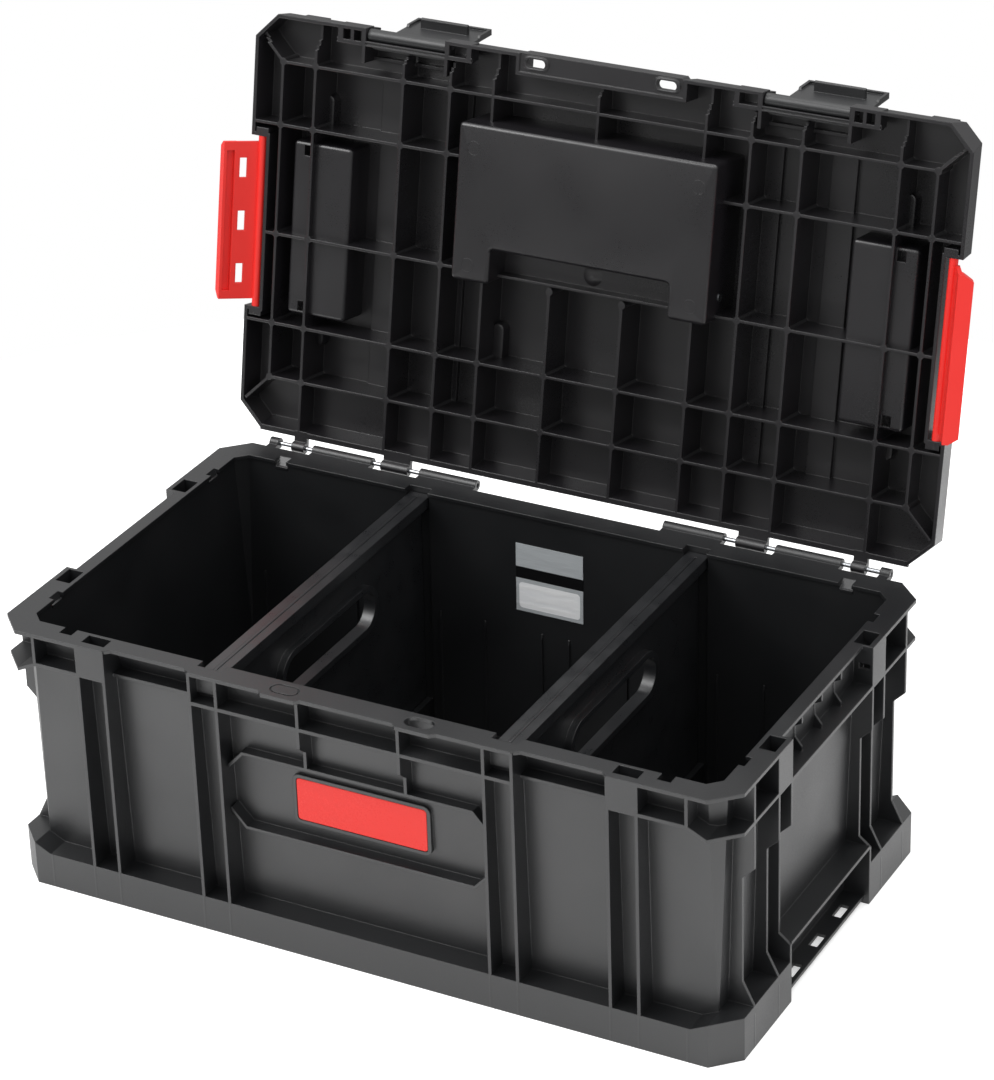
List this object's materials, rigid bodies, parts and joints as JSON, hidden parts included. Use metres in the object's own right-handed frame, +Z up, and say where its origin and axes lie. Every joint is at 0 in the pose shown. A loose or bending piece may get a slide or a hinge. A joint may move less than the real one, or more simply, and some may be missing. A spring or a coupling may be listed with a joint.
{
  "type": "stackable tool case",
  "caption": "Stackable plastic tool case with a hinged ribbed lid, front latches, side clips, a fold-down carry handle and lift-out dividers in a ribbed tub, shown open.",
  "frame": {"origin": "centre of the tub's footprint, on the surface it stands on", "axes": "+X to the right along the long side, +Y to the back where the lid is hinged, +Z up; the front with the badge faces -Y"},
  "size_m": [0.5591, 0.4358, 0.4879],
  "materials": {
    "tub_plastic": "moulded, fine grain",
    "lid_plastic": "moulded, fine grain",
    "divider_plastic": "moulded, fine grain",
    "latch_plastic": "moulded, fine grain",
    "handle_plastic": "moulded, fine grain",
    "grip_rubber": "soft, matt",
    "clip_plastic": "satin moulding",
    "badge_plastic": "smooth, glossy",
    "pin_steel": "bright drawn wire",
    "label_foil": "metallised foil label"
  },
  "bodies": {
    "tub": {"tub": "tub_plastic", "hinge_pin_left": "pin_steel", "hinge_pin_right": "pin_steel", "badge_plate": "badge_plastic", "inside_label": "label_foil"},
    "lid": {"lid": "lid_plastic", "latch_pin_left": "pin_steel", "latch_pin_right": "pin_steel", "handle_pin_left": "pin_steel", "handle_pin_right": "pin_steel"},
    "divider_left": {"divider_left": "divider_plastic"},
    "divider_right": {"divider_right": "divider_plastic"},
    "front_latch_left": {"front_latch_left": "latch_plastic"},
    "front_latch_right": {"front_latch_right": "latch_plastic"},
    "side_clip_left": {"side_clip_left": "clip_plastic"},
    "side_clip_right": {"side_clip_right": "clip_plastic"},
    "carry_handle": {"carry_handle": "handle_plastic", "handle_grip": "grip_rubber"}
  },
  "joints": [
    {"name": "lid_hinge", "type": "hinge", "parent": "tub", "child": "lid", "pos_m": [0, 0.157, 0.1916], "axis": [-1, 0, 0], "range_deg": [-101, 0]},
    {"name": "front_latch_left_pivot", "type": "hinge", "parent": "lid", "child": "front_latch_left", "pos_m": [-0.1465, 0.22023, 0.48126], "axis": [-1, 0, 0], "range_deg": [-172, 0]},
    {"name": "front_latch_right_pivot", "type": "hinge", "parent": "lid", "child": "front_latch_right", "pos_m": [0.1465, 0.22023, 0.48126], "axis": [-1, 0, 0], "range_deg": [-172, 0]},
    {"name": "side_clip_left_pivot", "type": "hinge", "parent": "lid", "child": "side_clip_left", "pos_m": [-0.2552, 0.19052, 0.34309], "axis": [0, -0.1908, -0.9816], "range_deg": [-45, 135]},
    {"name": "side_clip_right_pivot", "type": "hinge", "parent": "lid", "child": "side_clip_right", "pos_m": [0.2552, 0.19052, 0.34309], "axis": [0, 0.1908, 0.9816], "range_deg": [-26, 154]},
    {"name": "carry_handle_pivot", "type": "hinge", "parent": "lid", "child": "carry_handle", "pos_m": [0, 0.19428, 0.34776], "axis": [-1, 0, 0], "range_deg": [0, 95]},
    {"name": "divider_left_lift", "type": "slide", "parent": "tub", "child": "divider_left", "axis": [0, 0, 1], "range_m": [0, 0.2]},
    {"name": "divider_right_lift", "type": "slide", "parent": "tub", "child": "divider_right", "axis": [0, 0, 1], "range_m": [0, 0.2]}
  ]
}
